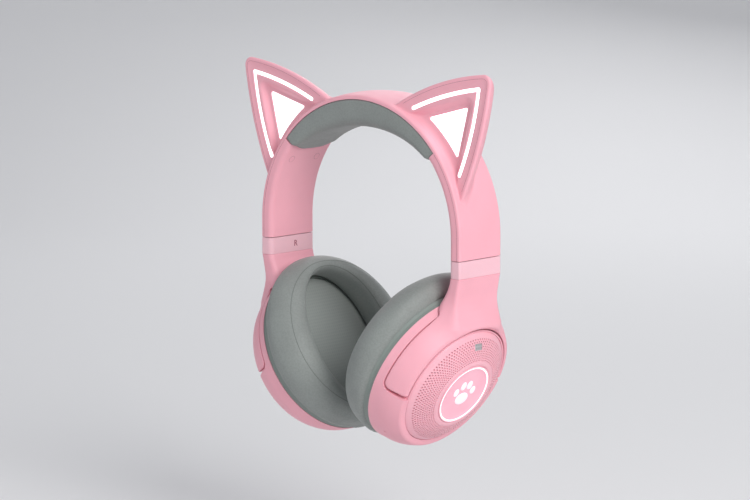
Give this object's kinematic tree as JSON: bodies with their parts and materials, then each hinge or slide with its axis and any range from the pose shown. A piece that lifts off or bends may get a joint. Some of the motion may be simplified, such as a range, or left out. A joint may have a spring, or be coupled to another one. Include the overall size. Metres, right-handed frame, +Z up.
{
  "type": "gaming headset",
  "caption": "Wireless over-ear gaming headset with lit cat ears on a padded headband, sliding yokes and tilting round ear cups.",
  "frame": {"origin": "middle of the headband pad's underside, where the headset rests on a head or a stand", "axes": "+X to the wearer's left, +Y to the rear, +Z up; the arch lies in the XZ plane"},
  "size_m": [0.1942, 0.1094, 0.2256],
  "materials": {
    "pink_plastic": "matte",
    "collar_plastic": "satin",
    "inner_plastic": "matte",
    "ring_plastic": "matte",
    "emblem_plastic": "satin",
    "button_plastic": "satin",
    "light_guide": "satin",
    "steel": "satin",
    "port_steel": "satin",
    "circuit_board": "satin",
    "battery_pouch": "satin",
    "leatherette": "matte",
    "scrim_fabric": "matte",
    "mesh_fabric": "matte"
  },
  "bodies": {
    "headband": {"ear_board_left": "circuit_board", "ear_board_right": "circuit_board", "ear_face_left": "pink_plastic", "ear_face_right": "pink_plastic", "ear_light_left": "light_guide", "ear_light_right": "light_guide", "ear_shell_left": "pink_plastic", "ear_shell_right": "pink_plastic", "headband_cover": "pink_plastic", "headband_liner": "pink_plastic", "headband_pad": "leatherette", "headband_screws": "steel", "pad_plate": "inner_plastic", "screw_plugs": "pink_plastic", "slider_guide_left": "inner_plastic", "slider_guide_right": "inner_plastic", "spring_band": "steel"},
    "yoke_left": {"pivot_pins_left": "steel", "slider_arm_left": "steel", "slider_collar_left": "collar_plastic", "yoke_liner_left": "pink_plastic", "yoke_screws_left": "steel", "yoke_shell_left": "pink_plastic"},
    "yoke_right": {"pivot_pins_right": "steel", "slider_arm_right": "steel", "slider_collar_right": "collar_plastic", "yoke_liner_right": "pink_plastic", "yoke_screws_right": "steel", "yoke_shell_right": "pink_plastic"},
    "cup_left": {"acoustic_mesh_left": "mesh_fabric", "baffle_left": "inner_plastic", "cup_housing_left": "pink_plastic", "cup_plate_left": "pink_plastic", "cup_screws_left": "steel", "cushion_ring_left": "ring_plastic", "driver_left": "inner_plastic", "ear_cushion_left": "leatherette", "emblem_disc_left": "emblem_plastic", "light_ring_left": "light_guide", "main_board": "circuit_board", "microphone": "port_steel", "scrim_left": "scrim_fabric", "status_light": "light_guide", "usb_port": "port_steel"},
    "cup_right": {"acoustic_mesh_right": "mesh_fabric", "baffle_right": "inner_plastic", "battery": "battery_pouch", "cup_housing_right": "pink_plastic", "cup_plate_right": "pink_plastic", "cup_screws_right": "steel", "cushion_ring_right": "ring_plastic", "driver_right": "inner_plastic", "ear_cushion_right": "leatherette", "emblem_disc_right": "emblem_plastic", "light_ring_right": "light_guide", "scrim_right": "scrim_fabric"},
    "power_button": {"power_button": "button_plastic"},
    "volume_up_button": {"volume_up_button": "button_plastic"},
    "volume_down_button": {"volume_down_button": "button_plastic"}
  },
  "joints": [
    {"name": "slider_left", "type": "slide", "parent": "headband", "child": "yoke_left", "axis": [0, 0, -1], "range_m": [0, 0.024]},
    {"name": "slider_right", "type": "slide", "parent": "headband", "child": "yoke_right", "axis": [0, 0, -1], "range_m": [0, 0.024]},
    {"name": "cup_tilt_left", "type": "hinge", "parent": "yoke_left", "child": "cup_left", "pos_m": [0.05679, 0, -0.14279], "axis": [0, -1, 0], "range_deg": [0, 18]},
    {"name": "cup_tilt_right", "type": "hinge", "parent": "yoke_right", "child": "cup_right", "pos_m": [-0.05679, 0, -0.14279], "axis": [0, 1, 0], "range_deg": [0, 18]},
    {"name": "power_press", "type": "slide", "parent": "cup_left", "child": "power_button", "axis": [-0.1662, -0.8948, 0.4143], "range_m": [0, 0.0006], "stiffness_N_per_m": 900, "springref_m": -0.0006},
    {"name": "volume_up_press", "type": "slide", "parent": "cup_left", "child": "volume_up_button", "axis": [-0.0575, -0.78, 0.6231], "range_m": [0, 0.0006], "stiffness_N_per_m": 900, "springref_m": -0.0006},
    {"name": "volume_down_press", "type": "slide", "parent": "cup_left", "child": "volume_down_button", "axis": [0.0013, -0.6768, 0.7361], "range_m": [0, 0.0006], "stiffness_N_per_m": 900, "springref_m": -0.0006}
  ]
}
